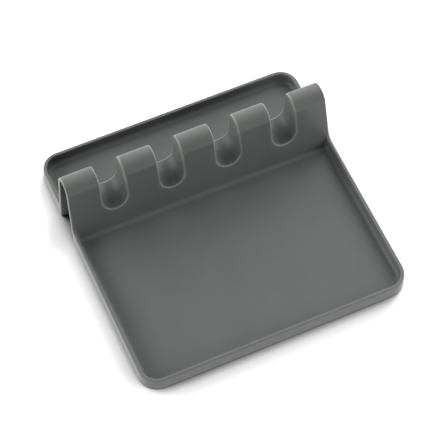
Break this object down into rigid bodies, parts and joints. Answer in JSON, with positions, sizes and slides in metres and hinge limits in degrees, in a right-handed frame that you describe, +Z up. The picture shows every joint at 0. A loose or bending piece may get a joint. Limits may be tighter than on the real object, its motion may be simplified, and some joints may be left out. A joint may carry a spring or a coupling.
{
  "type": "spoon rest",
  "caption": "One-piece soft spoon rest: rimmed drip tray, hollow raised ridge with half-round cradles for utensil handles, and a narrow rear tray.",
  "frame": {"origin": "On the table, under the middle of the whole footprint", "axes": "+X runs along the ridge and is the longest extent, -Y is the front edge of the drip tray, +Z is up and is the shortest extent"},
  "size_m": [0.2, 0.1976, 0.054],
  "materials": {
    "silicone": "satin matte moulded silicone, dark cool grey"
  },
  "bodies": {
    "root": {"front_tray_floor": "silicone", "front_tray_rim": "silicone", "rear_tray_floor": "silicone", "rear_tray_rim": "silicone", "ridge_front_wall": "silicone", "ridge_back_wall": "silicone", "crest_1": "silicone", "crest_2": "silicone", "crest_3": "silicone", "crest_4": "silicone", "crest_5": "silicone", "cradle_1": "silicone", "cradle_2": "silicone", "cradle_3": "silicone", "cradle_4": "silicone"}
  },
  "joints": []
}
